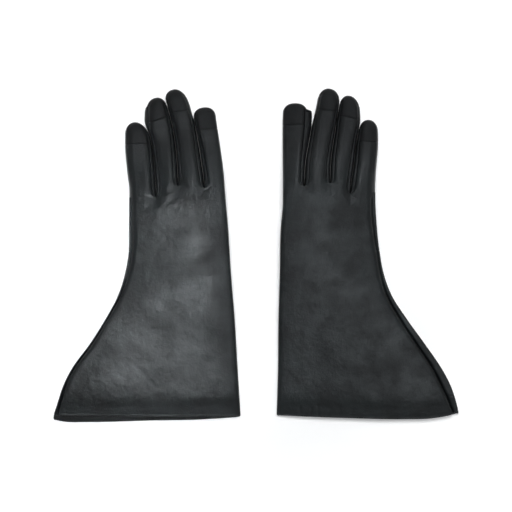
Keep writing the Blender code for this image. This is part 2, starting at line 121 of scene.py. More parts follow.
# %% The lines of the right glove
RIGHT = dict(
    side=1,
    index_edge=[(-6, -0.3), (0, -0.2), (44, 0.9), (88, 1.3), (131, 2.4), (175, 3.5), (192, 5.0),
                (207, 5.2), (230, 5.2), (256, 5.2), (273, 5.4), (286, 6.0)],
    little_edge=[(-6, 167.2), (0, 166.9), (5, 165.9), (11, 164.4), (33, 156.4), (44, 150.3),
                 (66, 135.2), (88, 119.3), (110, 105.0), (131, 97.2), (150, 93.7), (175, 90.9),
                 (204, 89.7), (219, 90.2), (230, 91.1), (247, 92.4), (256, 92.4), (270, 91.9)],
    strip=[(0, 4.4), (6, 5.6), (11, 6.4), (17, 7.2), (23, 8.1), (33, 8.6), (47, 8.2), (60, 8.1),
           (79, 7.2), (106, 5.1), (142, 2.9), (183, 4.0), (204, 3.6)],
    hem_back=[(0, 0.9), (69, -1.6), (115, -2.5), (142, -1.6), (160, 1.5), (167, 3.2)],
    hem_palm=[(0, 0.6), (69, -2.1), (115, -3.0), (142, -2.1), (160, 1.0), (167, 2.7)],
    roots=[(5.2, 206.0), (24.6, 209.5), (48.0, 211.7), (66.3, 202.7), (89.7, 204.5)],
    slits=[[(219, 25.1), (230, 25.8), (248, 28.9), (260, 31.1), (264, 31.7)],
           [(219, 48.3), (230, 48.8), (248, 51.2), (260, 53.2), (278, 55.9)],
           [(219, 68.3), (230, 70.0), (248, 72.3), (258, 74.0)]],
    tips=dict(index=285.6, middle=298.8, ring=292.4, little=270.4),
    ends=dict(index=([], [(273, 32.1), (286, 32.1)]),
              middle=([(271, 33.3), (283, 36.0), (299, 38.8)], [(286, 57.0), (299, 57.8)]),
              ring=([(284, 57.0), (292, 57.8)], [(268, 76.0), (280, 75.8), (292, 74.0)]),
              little=([(264, 75.2), (270, 75.8)], [])),
    rounds=dict(index=8.5, middle=11.5, ring=11.0, little=10.0),
    leans=dict(index=0.5, middle=8.0, ring=7.0, little=4.4),
    rolls=dict(index=[(206, 0.0), (230, 0.3), (248, 2.3), (256, 3.3), (265, 4.3), (278, 4.4)]),
    creases=[(49.5, 209.6, 58, 213.0, 0.25, 1.0), (64, 203.6, 71, 198.6, 0.28, 1.1),
             (22, 0.5, 21, 9.0, 0.44, 0.9), (31, 0.5, 31.5, 7.5, 0.40, 0.9),
             (38, 0.0, 37, 10.0, 0.44, 0.9), (47, 0.0, 48, 8.0, 0.42, 0.9),
             (56, -0.5, 55.5, 9.5, 0.44, 0.9), (67, -0.5, 68, 7.0, 0.40, 0.9)],
    crumples=[(38, 152, 18, 0.04), (132, 26, 16, 0.05)],
    thumb_turn=31.5,
    seed=8,
)
print("right glove:", len(RIGHT["creases"]), "creases and", len(RIGHT["crumples"]), "crumples")

# %% [markdown]
# ## Curves and hills
#
# Two helpers shape all that follows: a curve through measured points, and soft random hills for the
# way leather lies. The smaller ones ease a step, blend two values and round off a ridge or a dent.

# %% Helpers
HILL_GRID = 64
HILL_SHIFT = (7.3, 5.9)


def smooth(t):
    t = np.clip(t, 0.0, 1.0)
    return t * t * (3.0 - 2.0 * t)


def mix(a, b, t):
    return a + (b - a) * t


def ramp(value, start, run):
    """A smooth step up from 0 to 1 that starts at a value and takes a run."""
    return smooth((value - start) / run)


def fall(distance, run):
    """1 at a line, easing to 0 at the end of a run away from it."""
    return (1.0 - np.clip(distance / run, 0.0, 1.0)) ** 2


def power(value, exponent):
    return np.sign(value) * np.abs(value) ** exponent


def ridge(distance, high, wide):
    """A rounded ridge along a line, or a dent where it is taken away."""
    t = distance / wide
    return high * np.exp(-t * t)


def curve(points):
    """A smooth line through measured points, straight beyond its ends."""
    at, value = np.array(points, float).T
    slope = np.gradient(value, at)

    def line(y):
        y = np.asarray(y, float)
        inside = np.clip(y, at[0], at[-1])
        i = np.clip(np.searchsorted(at, inside) - 1, 0, len(at) - 2)
        step = at[i + 1] - at[i]
        t = (inside - at[i]) / step
        a = value[i] * (1 + 2 * t) * (1 - t) ** 2 + slope[i] * step * t * (1 - t) ** 2
        b = value[i + 1] * t * t * (3 - 2 * t) - slope[i + 1] * step * t * t * (1 - t)
        return a + b + (y - inside) * np.where(y < inside, slope[0], slope[-1])

    return line


def hills(x, y, size, seed):
    """Soft random hills of a given size, between -1 and 1."""
    heights = np.random.default_rng(seed).uniform(-1.0, 1.0, (HILL_GRID, HILL_GRID))
    x = np.asarray(x) / size + HILL_SHIFT[0]
    y = np.asarray(y) / size + HILL_SHIFT[1]
    i = np.floor(x).astype(int)
    j = np.floor(y).astype(int)

    def height(a, b):
        return heights[a % HILL_GRID, b % HILL_GRID]

    low = mix(height(i, j), height(i + 1, j), smooth(x - i))
    high = mix(height(i, j + 1), height(i + 1, j + 1), smooth(x - i))
    return mix(low, high, smooth(y - j))


print("helpers ready, an ease is half way at", float(smooth(0.5)))

# %% [markdown]
# ## One glove as a set of lines
#
# A glove lying flat is a flattened tube. At any height its section runs along the palm, up round
# the fold at the index edge, across the back to the side seam and down the side strip. These
# lines give the edges of that section and how high the palm is carried by the thumb under it.
# The back falls a little towards the pressed fold, which is why the index edge looks dark.
#
# The sizes come first, in millimetres, and MM turns the frame's metres into them. The thumb lifts the
# palm by about 8 mm, and the back is lifted too, but over a longer stretch, because leather bends
# slowly. A ramp is where a change starts and how far it runs. The waves are pairs of height and size:
# broad, small and fine ones, and the wrinkles of a crumple.

# %% Sizes of a glove lying flat
MM = 1000.0
SLIT = 0.1
FACING_START = 1.0
CUFF_DEPTH = 9.5
FINGER_DEPTH = 11.2
DEPTH_RAMP = (130.0, 70.0)
THUMB_LIFT = 7.9
PALM_LIFT = dict(start=40.0, run=75.0, wide=58.0, loss=0.9)
BACK_LIFT = dict(start=5.0, run=135.0, wide=10.0, loss=0.75)
EDGE_FALL = 2.8
EDGE_RUN = 28.0
SIDE_GROOVE = 2.1
GROOVE_LOSS = 0.6
GROOVE_RAMP = (100.0, 40.0)
GROOVE_FADE = 9.0
WAVES = ((0.36, 34.0), (0.22, 15.0), (0.06, 5.5), (1.0, 4.0))
SEED_STEP = 20
CALM = 0.6
CALM_RAMP = (205.0, 20.0)
print("flat depth", CUFF_DEPTH, "mm at the cuff and", FINGER_DEPTH, "mm at the fingers")


# %% The shape of a glove
class Glove:
    """The measured lines of one glove as smooth curves."""

    def __init__(self, name, lines):
        self.name = name
        for key in ("side", "tips", "rounds", "leans", "creases", "crumples", "seed"):
            setattr(self, key, lines[key])
        for key in ("strip", "hem_back", "hem_palm"):
            setattr(self, key, curve(lines[key]))
        self.edge = curve(lines["index_edge"])
        self.far = curve(lines["little_edge"])
        self.roots = np.array(lines["roots"])
        self.rolls = {finger: curve(points) for finger, points in lines["rolls"].items()}
        self.thumb_turn = math.radians(lines["thumb_turn"])
        self.inner = dict(index=self.edge)
        self.outer = dict(little=self.far)
        for i, slit in enumerate(lines["slits"]):
            crotch = [lines["roots"][i + 1][::-1]]
            before = crotch + [(y, x - 0.5 * SLIT) for y, x in slit] + lines["ends"][FINGERS[i]][1]
            after = crotch + [(y, x + 0.5 * SLIT) for y, x in slit] + lines["ends"][FINGERS[i + 1]][0]
            self.outer[FINGERS[i]] = curve(before)
            self.inner[FINGERS[i + 1]] = curve(after)
        self.hem_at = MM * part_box(name + "_hem_facing")[0].y - FACING_START
        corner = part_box(name + "_trank")
        self.edge_at = MM * (corner[0].x if self.side > 0 else corner[1].x)
        turn = JOINTS[name + "_thumb_swing"]["pos_m"]
        self.thumb = (self.side * (MM * turn[0] - self.edge_at), MM * turn[1] - self.hem_at)

    def ends(self, finger):
        """The two ends of a finger's root: towards the index edge and towards the little finger."""
        i = FINGERS.index(finger)
        return self.roots[i], self.roots[i + 1]

    def seam(self, y):
        """Where the back ends and the side strip begins."""
        return self.far(y) - self.strip(y)

    def length(self, finger):
        low, high = self.ends(finger)
        return self.tips[finger] - 0.5 * (low[1] + high[1])

    def roll(self, finger, y):
        """How much more of its outer side a finger shows because it lies rolled over."""
        return self.rolls[finger](y) if finger in self.rolls else 0.0 * y

    def carried(self, x, y, start, run, wide, loss, ease):
        """How far the folded thumb lifts a point: less towards the hem and the little-finger edge."""
        beyond = (x - self.edge(y) - wide) / (self.far(y) - self.edge(y) - wide)
        return THUMB_LIFT * ramp(y, start, run) * (1.0 - loss * ease(beyond))

    def lift(self, x, y):
        """How far the palm is carried above the table."""
        return self.carried(x, y, **PALM_LIFT, ease=smooth)

    def drape(self, x, y):
        """How far the back is carried, with its fall towards the fold."""
        lifted = self.carried(x, y, **BACK_LIFT, ease=lambda t: np.clip(t, 0.0, 1.0) ** 2)
        return lifted - EDGE_FALL * fall(x - self.edge(y), EDGE_RUN)

    def depth(self, y):
        return mix(CUFF_DEPTH, FINGER_DEPTH, ramp(y, *DEPTH_RAMP))

    def groove(self, y):
        """How deep the side seam lies: less above the wrist, and out at the little finger's root."""
        tight = 1.0 - GROOVE_LOSS * ramp(y, *GROOVE_RAMP)
        return SIDE_GROOVE * tight * smooth((self.roots[4][1] - y) / GROOVE_FADE)

    def relief(self, x, y):
        """The gentle waves of leather that has been on a hand and laid down again."""
        seeds = self.seed + SEED_STEP * np.arange(len(WAVES))
        waves = [high * hills(x, y, size, seed) for (high, size), seed in zip(WAVES, seeds)]
        broad, small, fine, wrinkles = waves
        height = (broad + small) * (1.0 - CALM * ramp(y, *CALM_RAMP)) + fine
        for x0, y0, x1, y1, deep, wide in self.creases:
            along = ((x - x0) * (x1 - x0) + (y - y0) * (y1 - y0)) / ((x1 - x0) ** 2 + (y1 - y0) ** 2)
            along = np.clip(along, 0.0, 1.0)
            away = np.hypot(x - mix(x0, x1, along), y - mix(y0, y1, along))
            height = height - ridge(away, deep, wide)
        for x0, y0, wide, deep in self.crumples:
            height = height + ridge(np.hypot(x - x0, y - y0), deep * wrinkles, wide)
        return height

    def world(self, points):
        out = np.empty_like(points)
        out[..., 0] = self.side * points[..., 0] + self.edge_at
        out[..., 1] = points[..., 1] + self.hem_at
        out[..., 2] = points[..., 2]
        return out / MM


GLOVES = (Glove("left", LEFT), Glove("right", RIGHT))
for glove in GLOVES:
    print(glove.name, "thumb hole at", [round(float(v), 1) for v in glove.thumb], "mm")

# %% [markdown]
# ## From lines to leather
#
# A glove could be pulled from a subdivided box, or dropped onto the table as simulated cloth, but
# then its edges and seams would end up near the measured lines and not on them. So all the outer
# faces are worked out from the lines and go into one skin. Panels that are cut from the same leather
# share their points, so light runs across the join without a break. Panels that are sewn together
# keep their own points and dip into a groove, as an inside seam does.


# %% The skin
def corners(grid):
    """The four corners of every face of a grid, in order round the face."""
    return grid[:-1, :-1], grid[:-1, 1:], grid[1:, 1:], grid[1:, :-1]


def closed(numbers):
    """A grid of points with its first line again at the end, which closes it to a tube."""
    return np.concatenate([numbers, numbers[:, :1]], axis=1)


class Skin:
    """The outer faces of one glove, sorted by panel."""

    def __init__(self, glove):
        self.glove = glove
        self.points = []
        self.count = 0
        self.faces = {}

    def add(self, points):
        """Store a grid of points and return their numbers in the same layout."""
        points = np.asarray(points, float)
        numbers = np.arange(self.count, self.count + points.size // 3).reshape(points.shape[:-1])
        self.points.append(points.reshape(-1, 3))
        self.count += numbers.size
        return numbers

    def copy(self, numbers):
        """The same points again, for a panel that is sewn rather than cut in one."""
        return self.add(np.vstack(self.points)[numbers])

    def sew(self, panel, numbers, keep=None):
        """Cover a grid of points with faces and give them to a panel."""
        quads = np.stack(corners(numbers), -1)
        quads = quads.reshape(-1, 4) if keep is None else quads[keep]
        self.faces.setdefault(panel, []).append(quads)

    def fan(self, panel, ring, tip):
        """Close a ring of points with a fan of triangles round a tip."""
        tip = np.full(len(ring), self.add(np.array([tip]))[0])
        self.faces.setdefault(panel, []).append(np.stack([ring, np.roll(ring, -1), tip, tip], -1))

    def normals(self):
        """All points and the outward direction at each, from the faces round it."""
        places = np.vstack(self.points)
        out = np.zeros_like(places)
        for quads in sum(self.faces.values(), []):
            a, b, c, d = (places[quads[:, i]] for i in range(4))
            way = np.cross(c - a, d - b)
            for i in range(4):
                np.add.at(out, quads[:, i], way)
        length = np.linalg.norm(out, axis=1)
        return places, out / np.where(length > 0.0, length, 1.0)[:, None]


SKINS = {glove.name: Skin(glove) for glove in GLOVES}
print(len(SKINS), "empty skins")

# %% [markdown]
# Each panel is later lifted out of the skin and given its thickness inwards, with a rim all round.
# Blender's Solidify modifier could thicken it, but then every panel would be rounded by its own
# faces only, and the light would break at each join. Here the whole skin says which way is out.

# %% A panel with its thickness
LEATHER = 0.8


def panel_mesh(glove, name, places, normals, quads, outside):
    """A closed sheet: the outer faces, the same faces from inside and a rim between them."""
    used, quads = np.unique(quads, return_inverse=True)
    quads = quads.reshape(-1, 4)
    count = len(used)
    top = places[used] - outside * normals[used]
    bottom = top - LEATHER * normals[used]
    edges = np.stack([quads.ravel(), np.roll(quads, -1, axis=1).ravel()])
    edges = edges[:, edges[0] != edges[1]]
    free = ~np.isin(edges[0] * count + edges[1], edges[1] * count + edges[0])
    a, b = edges[:, free]
    rim = np.stack([b, a, a + count, b + count], -1)
    inner = quads[:, ::-1] + count
    everything = np.vstack([quads, inner, rim])
    if glove.side < 0:
        everything = everything[:, ::-1]
    faces = [list(dict.fromkeys(face)) for face in everything.tolist()]
    points = glove.world(np.vstack([top, bottom]))
    mesh = bpy.data.meshes.new(name)
    mesh.from_pydata(points.tolist(), [], faces, shade_flat=False)
    way = np.vstack([normals[used], -normals[used]])
    way[:, 0] *= glove.side
    corner = np.array([loop.vertex_index for loop in mesh.loops])
    split = way[corner]
    for polygon in mesh.polygons[2 * len(quads):]:
        split[polygon.loop_start:polygon.loop_start + polygon.loop_total] = polygon.normal
    mesh.normals_split_custom_set(split.tolist())
    return mesh


print("leather", LEATHER, "mm thick")

# %% [markdown]
# ## The hand: trank, side strips and hem
#
# The trank is the one large panel of a glove. It covers the palm, turns round the fold at the
# index edge and comes back over the back of the hand, so its grid has lengthwise lines in that
# order. Each line ends at the root of a finger, and the fingers later start from the same points.

# %% Lines up the hand
BACK_STEPS = 32
PALM_STEPS = 12
FOLD_STEPS = 12
CROWD = 1.5
FOLD = 4.5
ROOT_DIP = 1.1
SEAM_DIP = 1.8
SEAM_SHARP = 3.4
CROTCH_ROUND = 7.0


def spread(count):
    """Steps from 0 to 1 that crowd towards both ends, where the seams are."""
    k = np.linspace(-1.0, 1.0, count + 1)
    return 0.5 + 0.5 * np.sign(k) * (1.0 - (1.0 - np.abs(k)) ** CROWD)


def back_ends(glove, finger):
    """The two ends of a finger's root on the back of the hand."""
    low, high = glove.ends(finger)
    if finger == "index":
        low = low + [FOLD, 0.0]
    if finger == "little":
        high = high - [float(glove.strip(high[1])), 0.0]
    return low, high


def palm_ends(glove, finger):
    """The two ends of a finger's root on the palm, outer end first."""
    return glove.ends(finger)[1], back_ends(glove, finger)[0]


def joined(parts):
    """Runs of lines end to end, each sharing its first line with the one before."""
    return np.concatenate([parts[0]] + [part[1:] for part in parts[1:]])


def dips(finger, above):
    """How far each line of a finger's back drops below its crown, at a height above the root."""
    q = 2.0 * spread(BACK_STEPS) - 1.0
    if finger == "index":
        q = np.maximum(q, 0.0)
    if finger == "little":
        q = np.minimum(q, 0.0)
    q = np.abs(q)
    stall = smooth(above / CROTCH_ROUND)
    return mix(ROOT_DIP * smooth(q), SEAM_DIP * q ** SEAM_SHARP, stall)


print(4 * PALM_STEPS + FOLD_STEPS + 4 * BACK_STEPS + 1, "lines up the trank")

# %% [markdown]
# The side strip lies beside the back like a narrow ledge, with its seam drawn down into a groove,
# and then turns over to the palm in a small round.
#
# The hem is turned up inside: the edge rolls under by half a circle, and a separate facing carries
# on from there. Pressing flattens the mouth, so the back falls softly towards it, lies a little
# hollow over the turning, which makes the darker band, and ends in a thin lip. The hollow and the
# lip are given as depth or height, place above the mouth and half width.

# %% Falls and curls at the edges
FOLD_ROUND = 0.57
SIDE_DIP = 1.4
SIDE_RUN = 5.0
SIDE_CURL = 2.6
CURL_RUN = 3.6
HEM_ROLL = 0.9
HEM_TURN = 14.0
HEM_FALL = 0.82
HEM_SOFT = 4.0
HEM_START = HEM_TURN + 3.7
HEM_HOLLOW = (0.18, 9.0, 4.0)
HEM_LIP = (0.36, -0.8, 0.9)
HEM_CURL = 0.5
HEM_FLAT = 24.0


def edge_curl(distance):
    return SIDE_CURL * fall(distance, CURL_RUN)


def hem_band(above):
    """The fall towards the mouth, with the hollow over the turning and the lip at the edge."""
    fall = -HEM_FALL * np.log1p(np.exp((HEM_START - above) / HEM_SOFT))
    hollow, lip = (ridge(above - at, high, wide) for high, at, wide in (HEM_HOLLOW, HEM_LIP))
    return fall - hollow + lip


def hem_flat(above):
    """How much the side edge's curl is pressed flat towards the mouth."""
    return mix(HEM_CURL, 1.0, smooth(above / HEM_FLAT))


def fold_round(turn):
    """A pressed fold, flatter than half a circle: how far in it lies and how far up it is."""
    inward = FOLD * (1.0 - np.abs(np.sin(turn)) ** FOLD_ROUND)
    return inward, 0.5 * (1.0 - power(np.cos(turn), FOLD_ROUND))


print("hem turned up", HEM_TURN, "mm and pressed down", round(-float(hem_band(0.0)), 1), "mm")

# %% [markdown]
# Now the trank's points, row by row. A row is a share of the way from the hem to the finger roots,
# so the rows fan out from the slanted hem to the stepped roots without a jump.

# %% Rows of the trank
CROTCH_RUN = 15.0
ROOT_RUN = 12.0
GROOVE_WIDTH = 0.9


def back_height(glove, x, y, hem):
    return glove.drape(x, y) + glove.depth(y) + glove.relief(x, y) + hem_band(y - hem)


def hand_lines(glove, ends, steps, far, hem_line, v):
    """Lines from the hem to the finger roots, spread between the fold and a far edge."""
    x_root, y_root = joined([mix(a, b, spread(steps)[:, None]) for a, b in ends]).T
    share = (x_root - glove.edge(y_root) - FOLD) / (far(y_root) - glove.edge(y_root) - FOLD)
    hem = hem_line(FOLD + share * (far(0.0) - FOLD)) + HEM_ROLL
    y = mix(hem, y_root, v)
    x = glove.edge(y) + FOLD + share * (far(y) - glove.edge(y) - FOLD)
    return x, y, hem, x_root, y_root


def palm_rows(glove, v):
    """The palm, from its outer edge to the fold, curled up at the edge and at the crotches."""
    ends = [palm_ends(glove, finger) for finger in reversed(FINGERS)]
    x, y, hem, x_root, y_root = hand_lines(glove, ends, PALM_STEPS, glove.far, glove.hem_palm, v)
    gap = np.min([np.abs(x_root - x_slit) for x_slit in glove.roots[1:4, 0]], axis=0)
    z = glove.lift(x, y) + edge_curl(gap) * ramp(y, y_root - CROTCH_RUN, CROTCH_RUN)
    z = z + edge_curl(glove.far(y) - x) * hem_flat(y - hem)
    return np.stack([x, y, z], -1)


def fold_rows(glove, v):
    """The fold at the index edge, from the palm up to the back."""
    turn = np.linspace(0.0, math.pi, FOLD_STEPS + 1)[1:-1]
    hem = mix(glove.hem_palm(0.0), glove.hem_back(0.0), turn / math.pi) + HEM_ROLL
    y = mix(hem, glove.roots[0][1], v)
    inward, up = fold_round(turn)
    x = glove.edge(y) + inward
    return np.stack([x, y, mix(glove.lift(x, y), back_height(glove, x, y, hem), up)], -1)


def back_rows(glove, v):
    """The back of the hand, from the fold to the side seam."""
    ends = [back_ends(glove, finger) for finger in FINGERS]
    x, y, hem, _, y_root = hand_lines(glove, ends, BACK_STEPS, glove.seam, glove.hem_back, v)
    to_seam = glove.seam(y) - x
    z = back_height(glove, x, y, hem) - SIDE_DIP * fall(to_seam, SIDE_RUN)
    z = z - ridge(to_seam, glove.groove(y), GROOVE_WIDTH)
    dip = joined([dips(finger, 0.0) for finger in FINGERS])
    z = z - dip * ramp(y, y_root - ROOT_RUN, ROOT_RUN)
    return np.stack([x, y, z], -1)


def trank_rows(glove, rows):
    """The trank's points: rows up the hand, lines from the palm's outer edge to the side seam."""
    v = np.asarray(rows)[:, None]
    return np.concatenate([part(glove, v) for part in (palm_rows, fold_rows, back_rows)], axis=1)


for glove in GLOVES:
    highest = float(trank_rows(glove, [0.5])[..., 2].max())
    print(glove.name, "back", round(highest, 1), "mm high half way up")

# %% [markdown]
# The side strip follows the edge of the hand. Its rows bend a little, because the palm and the back
# do not end at the same height. The rolled hem is a half circle under the first row.

# %% Rows of the side strip and the rolled hem
STRIP_STEPS = 7
ROLL_STEPS = 8
SIDE_ROUND = 0.8
ROUND_SHARE = 0.4


def side_rows(glove, heights):
    """The side strip's points: rows up the edge, lines from the side seam down to the palm."""
    above = np.asarray(heights, float)[:, None]
    flat = np.linspace(0.0, 1.0, STRIP_STEPS + 1) ** CROWD
    fall = np.linspace(0.0, 0.5 * math.pi, STRIP_STEPS + 1)[1:]
    out = np.concatenate([flat, 1.0 + 0.0 * fall])
    down = np.concatenate([0.0 * flat, fall])
    up = np.cos(down)
    hem = mix(glove.hem_palm(glove.far(0.0)), glove.hem_back(glove.far(0.0)), up) + HEM_ROLL
    y = hem + above * (glove.roots[4][1] - hem) / glove.roots[4][1]
    wide = glove.strip(y)
    round_edge = np.minimum(SIDE_ROUND, ROUND_SHARE * wide)
    seam = glove.far(y) - wide
    x = seam + out * (wide - round_edge) + np.sin(down) * round_edge
    groove = ridge(out * (wide - round_edge), glove.groove(y), GROOVE_WIDTH)
    top = glove.depth(y) - SIDE_DIP - groove + glove.relief(seam, y) + hem_band(y - hem) + glove.drape(x, y)
    low = SIDE_CURL * hem_flat(y - hem) + glove.lift(x, y)
    return np.stack([x, y, mix(low, top, up)], -1)


def turn_hem(row):
    """The rolled edge under a row of points: half a circle, from the inside out."""
    way = np.gradient(row, axis=0)
    out = np.stack([-way[:, 2], np.zeros(len(row)), way[:, 0]], -1)
    out = HEM_ROLL * out / np.linalg.norm(out, axis=1)[:, None]
    ahead = np.array([0.0, HEM_ROLL, 0.0])
    turns = np.linspace(math.pi, 0.0, ROLL_STEPS + 1)[:-1]
    return np.array([row - out * (1.0 - math.cos(turn)) - ahead * math.sin(turn) for turn in turns])


print("side strip in", 2 * STRIP_STEPS + 1, "lines, hem rolled in", ROLL_STEPS, "steps")

# %% [markdown]
# The palm has a round hole for the thumb. The faces inside it are left out and the points round it
# are moved onto a true circle, which is what a round punch leaves. A Boolean cut would do the same,
# but leaves slivers along its edge.
#
# The side strip is sewn from two lengths with a cross seam at the wrist, and a faint line crosses it
# where the hem turns. A dent is a depth and a half width. Rows crowd together at the seams, and a run
# says how far from its seams the even rows between them start and stop, and their step.

# %% Rows and seams of the hand
HAND_LENGTH = 206.0
CROSS_SEAM = 150.0
CROSS_DENT = (0.6, 0.7)
HEM_LINE = 15.5
HEM_DENT = (0.36, 0.6)


def rows_of(*parts):
    """Heights of rows from lists and from stretches of (start, end, step)."""
    return np.concatenate([np.arange(*part) if isinstance(part, tuple) else part for part in parts])


HEM_ROWS = [0.0, 0.5, 1.1, 1.8, 2.6, 3.5]
BELOW_SEAM = -np.array([1.0, 0.5, 0.2])
ABOVE_SEAM = np.array([0.2, 0.5, 1.0])
CUFF_ROWS = rows_of(HEM_ROWS, (4.5, 18.0, 0.9), (19.0, 148.5, 1.6), CROSS_SEAM + BELOW_SEAM)
HAND_ROWS = rows_of(HEM_ROWS, (4.5, 22.0, 0.8), (22.5, 186.0, 1.5), (186.5, 205.5, 0.8), [HAND_LENGTH])
STRIP_RUN = (2.0, -1.5, 1.6)
FACING_ROWS = np.linspace(0.4, HEM_TURN - HEM_ROLL, 8)
print(len(HAND_ROWS), "rows up the hand and", len(CUFF_ROWS), "up the cuff's strip")

# %% The hand of each glove
THUMB_HOLE = 11.0


def punch(points, lines, centre):
    """Faces to keep round a hole in the first lines of a grid. Moves the points round it onto a circle."""
    off = points[:, :, :2] - np.array(centre)
    near = np.hypot(off[..., 0], off[..., 1])
    near[:, lines:] = np.inf
    keep = np.mean(corners(near), axis=0) > THUMB_HOLE
    around = np.array(corners(np.pad(keep, 1, constant_values=True)))
    ring = around.any(axis=0) & ~around.all(axis=0)
    points[ring, :2] = np.array(centre) + off[ring] * (THUMB_HOLE / near[ring])[:, None]
    return keep


def make_hand(skin):
    """Trank, side strips and hem facing. Returns the trank's points at the finger roots."""
    glove = skin.glove
    points = trank_rows(glove, HAND_ROWS / HAND_LENGTH)
    points = np.concatenate([turn_hem(points[0]), points])
    keep = punch(points, 4 * PALM_STEPS + 1, glove.thumb)
    trank = skin.add(points)
    skin.sew("trank", trank, keep)

    cuff = side_rows(glove, CUFF_ROWS)
    dent = ridge(CUFF_ROWS - CROSS_SEAM, *CROSS_DENT) + ridge(CUFF_ROWS - HEM_LINE, *HEM_DENT)
    cuff[..., 2] -= dent[:, None]
    skin.sew("side_strip_cuff", skin.add(np.concatenate([turn_hem(cuff[0]), cuff])))

    top = glove.roots[4][1]
    start, stop, step = STRIP_RUN
    heights = rows_of(CROSS_SEAM + ABOVE_SEAM, (CROSS_SEAM + start, top + stop, step), top + BELOW_SEAM)
    upper = side_rows(glove, heights)
    dent = ridge(heights - CROSS_SEAM, *CROSS_DENT) + ridge(heights - top, *CROSS_DENT)
    upper[..., 2] -= dent[:, None]
    skin.sew("side_strip_hand", skin.add(upper))

    tube = trank_rows(glove, FACING_ROWS / HAND_LENGTH)[:, ::2]
    facing = skin.add(np.concatenate([tube, side_rows(glove, FACING_ROWS)[:, 2:-1:2]], axis=1))
    skin.sew("hem_facing", closed(facing))
    return trank[-1]


ROOTS = {}
for glove in GLOVES:
    ROOTS[glove.name] = make_hand(SKINS[glove.name])
    print(glove.name, "hand:", SKINS[glove.name].count, "points")

# %% [markdown]
# ## The fingers
#
# A finger is a stall of four runs: the back, the outer side, the palm and the inner side. Between
# two fingers the sides are fourchettes, narrow strips that give the stall its depth. The index
# finger has a plain fold on its outside instead, and the little finger's back wraps round its edge.
#
# At a crotch the back panel reaches right to the slit. Just above it the seam swings away in a
# small U, and the fourchettes come into sight. The last 20 mm is a separate tip panel sewn on with
# a cross seam, with the fourchettes running on past it almost to the end.

# %% Rows of a finger
TIP_PANEL = 20.0
SIDE_SHORT = 8.0
STALL_RUN = (8.3, -2.0, 1.4)
ROOT_ROWS = [0.0, 0.3, 0.7, 1.3, 2.0, 2.8, 3.7, 4.7, 5.8, 7.0]
LAST_ROWS = -np.array([1.5, 1.0, 0.6, 0.3, 0.1])
TIP_ROWS = np.array([19.9, 19.7, 19.4, 19.0, 18.4, 17.6, 16.6, 15.4, 14.2, 13.0, 11.8, 10.6, 9.6, 8.9,
                     8.5, 8.3, 8.15])
CAP_ROWS = np.array([7.85, 7.7, 7.4, 6.9, 6.2, 5.4, 4.6, 3.8, 3.0, 2.3, 1.7, 1.2, 0.8, 0.45, 0.2, 0.06])


def finger_rows(length):
    """Distances of a finger's rows from its root, and the first rows of its tip panel and end cap."""
    seam = length - TIP_PANEL
    start, stop, step = STALL_RUN
    stall = rows_of(ROOT_ROWS, (start, seam + stop, step), seam + LAST_ROWS)
    rows = np.concatenate([stall, length - TIP_ROWS, length - CAP_ROWS])
    return rows, len(stall), len(stall) + len(TIP_ROWS)


for glove in GLOVES:
    print(glove.name, "finger lengths, mm:", [round(float(glove.length(finger)), 1) for finger in FINGERS])

# %% [markdown]
# The four runs share one set of rules. A finger narrows to a rounded end, sinks from the height of
# the hand to the table, and draws in a little at each seam. The sides swell outwards like a strip
# of leather on edge, and the palm's edges are tucked in by half a millimetre, so that neighbouring
# fingers stay clear of each other when one of them lifts. A bevelled curve could make a plain tube,
# but its lines would not run along the seams, and here every seam is a line of the grid.

# %% Sizes of a finger
SIDE_STEPS = 8
SQUARE = 2.2
FLATTEN = 0.7
TIP_LEVEL = 0.4
SINK = 0.62
INDEX_FALL = 2.4
SHOW = 3.4
SHOW_FROM = 12.0
SHOW_LOSS = 0.45
GROOVE = 1.1
GROOVE_END = 4.0
ROLL_RAMP = (0.8, 2.0)
SEAM_WIDE = 0.6
TIP_SEAM = 0.06
SIDE_SEAM = 0.08
NARROWING = 0.25
SWELL_OUT = 0.6
SWELL_UP = 0.3
SWELL_DOWN = 0.35
PALM_TUCK = 0.5


def cubic(a, b, c, d, t):
    """A cubic curve from a to d, drawn towards b and then c on its way."""
    u = 1.0 - t
    return a * u ** 3 + 3 * b * t * u * u + 3 * c * t * t * u + d * t ** 3


print("a finger's back has", BACK_STEPS + 1, "lines and each side", SIDE_STEPS + 1)


